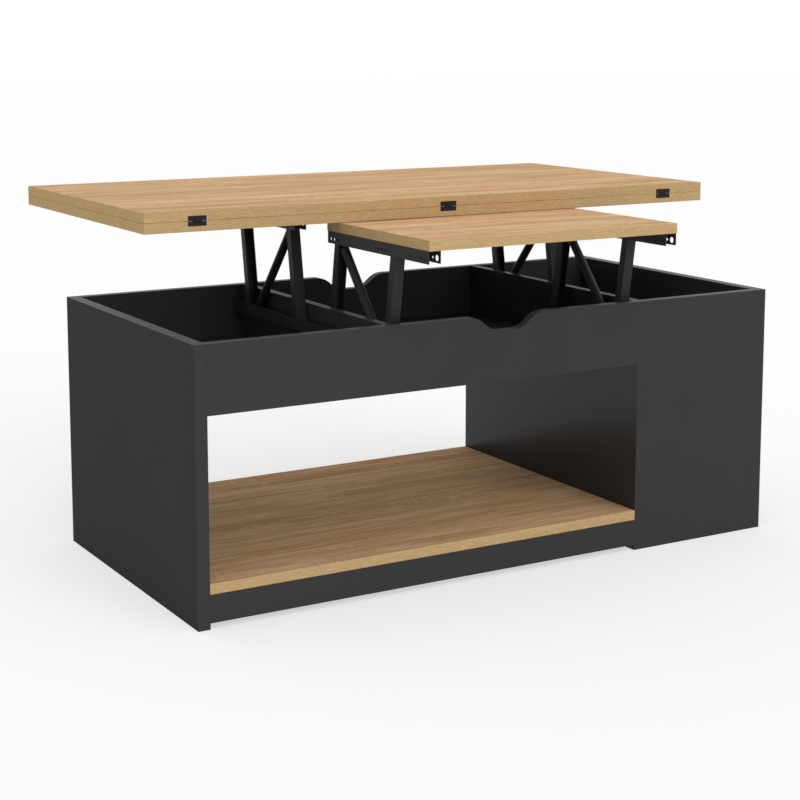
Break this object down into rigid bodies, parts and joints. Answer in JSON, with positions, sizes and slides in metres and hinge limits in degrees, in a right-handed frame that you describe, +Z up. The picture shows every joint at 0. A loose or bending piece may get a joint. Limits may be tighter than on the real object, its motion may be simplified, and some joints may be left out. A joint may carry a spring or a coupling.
{
  "type": "convertible coffee dining table",
  "caption": "Long open cabinet with storage bins; a folded double leaf rises rearward on linked lift arms and a support plate rises forward.",
  "frame": {"origin": "middle of the raised table's footprint, on the floor", "axes": "+X along the cabinet to the right as seen from the front, +Y to the rear, +Z up"},
  "size_m": [1.2, 0.9052, 0.667],
  "materials": {
    "graphite_board": "satin",
    "oak_board": "satin",
    "black_steel": "satin",
    "strut_tube": "satin",
    "strut_rod": "satin",
    "hinge_metal": "satin"
  },
  "bodies": {
    "cabinet": {"left_end_panel": "graphite_board", "right_end_panel": "graphite_board", "front_apron": "graphite_board", "rear_apron": "graphite_board", "storage_floor": "graphite_board", "front_plinth": "graphite_board", "rear_plinth": "graphite_board", "cupboard_front": "graphite_board", "cupboard_back": "graphite_board", "cupboard_floor": "graphite_board", "left_partition": "graphite_board", "inner_upright": "graphite_board", "bay_shelf": "oak_board", "rear_left_base_rail": "black_steel", "rear_right_base_rail": "black_steel", "front_left_base_rail": "black_steel", "front_right_base_rail": "black_steel"},
    "top_frame": {"lower_leaf": "oak_board", "rear_left_top_rail": "black_steel", "rear_right_top_rail": "black_steel", "left_hinge_lower_plate": "hinge_metal", "centre_hinge_lower_plate": "hinge_metal", "right_hinge_lower_plate": "hinge_metal"},
    "upper_leaf": {"upper_leaf": "oak_board", "left_hinge_upper_plate": "hinge_metal", "centre_hinge_upper_plate": "hinge_metal", "right_hinge_upper_plate": "hinge_metal"},
    "plate_frame": {"support_plate": "oak_board", "front_left_top_rail": "black_steel", "front_right_top_rail": "black_steel"},
    "rear_drive_arms": {"rear_left_drive_arm": "black_steel", "rear_right_drive_arm": "black_steel"},
    "rear_guide_arms": {"rear_left_guide_arm": "black_steel", "rear_right_guide_arm": "black_steel"},
    "rear_strut_cylinders": {"rear_left_strut_cylinder": "strut_tube", "rear_right_strut_cylinder": "strut_tube"},
    "rear_strut_rods": {"rear_left_strut_rod": "strut_rod", "rear_right_strut_rod": "strut_rod"},
    "front_drive_arms": {"front_left_drive_arm": "black_steel", "front_right_drive_arm": "black_steel"},
    "front_guide_arms": {"front_left_guide_arm": "black_steel", "front_right_guide_arm": "black_steel"},
    "front_strut_cylinders": {"front_left_strut_cylinder": "strut_tube", "front_right_strut_cylinder": "strut_tube"},
    "front_strut_rods": {"front_left_strut_rod": "strut_rod", "front_right_strut_rod": "strut_rod"}
  },
  "joints": [
    {"name": "lift", "type": "hinge", "parent": "cabinet", "child": "rear_drive_arms", "pos_m": [0, 0.15556, 0.43572], "axis": [1, 0, 0], "range_deg": [0, 92.05]},
    {"name": "rear_top_level", "type": "hinge", "parent": "rear_drive_arms", "child": "top_frame", "pos_m": [0, 0.18372, 0.6135], "axis": [1, 0, 0], "range_deg": [-92.05, 0]},
    {"name": "rear_guide", "type": "hinge", "parent": "cabinet", "child": "rear_guide_arms", "pos_m": [0, -0.04444, 0.43572], "axis": [1, 0, 0], "range_deg": [0, 92.05]},
    {"name": "rear_strut_swing", "type": "hinge", "parent": "cabinet", "child": "rear_strut_cylinders", "pos_m": [0, 0.13556, 0.43572], "axis": [1, 0, 0], "range_deg": [0, 46.02]},
    {"name": "rear_rod_swing", "type": "hinge", "parent": "rear_guide_arms", "child": "rear_strut_rods", "pos_m": [0, -0.01628, 0.6135], "axis": [1, 0, 0], "range_deg": [-46.02, 0]},
    {"name": "leaf_fold", "type": "hinge", "parent": "top_frame", "child": "upper_leaf", "pos_m": [0, -0.1479, 0.64875], "axis": [1, 0, 0], "range_deg": [0, 180]},
    {"name": "front_lift", "type": "hinge", "parent": "cabinet", "child": "front_drive_arms", "pos_m": [0, -0.30244, 0.41692], "axis": [1, 0, 0], "range_deg": [-92.05, 0]},
    {"name": "front_plate_level", "type": "hinge", "parent": "front_drive_arms", "child": "plate_frame", "pos_m": [0, -0.3306, 0.5947], "axis": [1, 0, 0], "range_deg": [0, 92.05]},
    {"name": "front_guide", "type": "hinge", "parent": "cabinet", "child": "front_guide_arms", "pos_m": [0, -0.10244, 0.41692], "axis": [1, 0, 0], "range_deg": [-92.05, 0]},
    {"name": "front_strut_swing", "type": "hinge", "parent": "cabinet", "child": "front_strut_cylinders", "pos_m": [0, -0.28244, 0.41692], "axis": [1, 0, 0], "range_deg": [-46.02, 0]},
    {"name": "front_rod_swing", "type": "hinge", "parent": "front_guide_arms", "child": "front_strut_rods", "pos_m": [0, -0.1306, 0.5947], "axis": [1, 0, 0], "range_deg": [0, 46.02]}
  ],
  "couplings": [
    {"joint": "rear_top_level", "follows": "lift", "ratio": -1},
    {"joint": "rear_guide", "follows": "lift", "ratio": 1},
    {"joint": "rear_strut_swing", "follows": "lift", "ratio": 0.5},
    {"joint": "rear_rod_swing", "follows": "lift", "ratio": -0.5},
    {"joint": "front_lift", "follows": "lift", "ratio": -1},
    {"joint": "front_plate_level", "follows": "lift", "ratio": 1},
    {"joint": "front_guide", "follows": "lift", "ratio": -1},
    {"joint": "front_strut_swing", "follows": "lift", "ratio": -0.5},
    {"joint": "front_rod_swing", "follows": "lift", "ratio": 0.5}
  ]
}
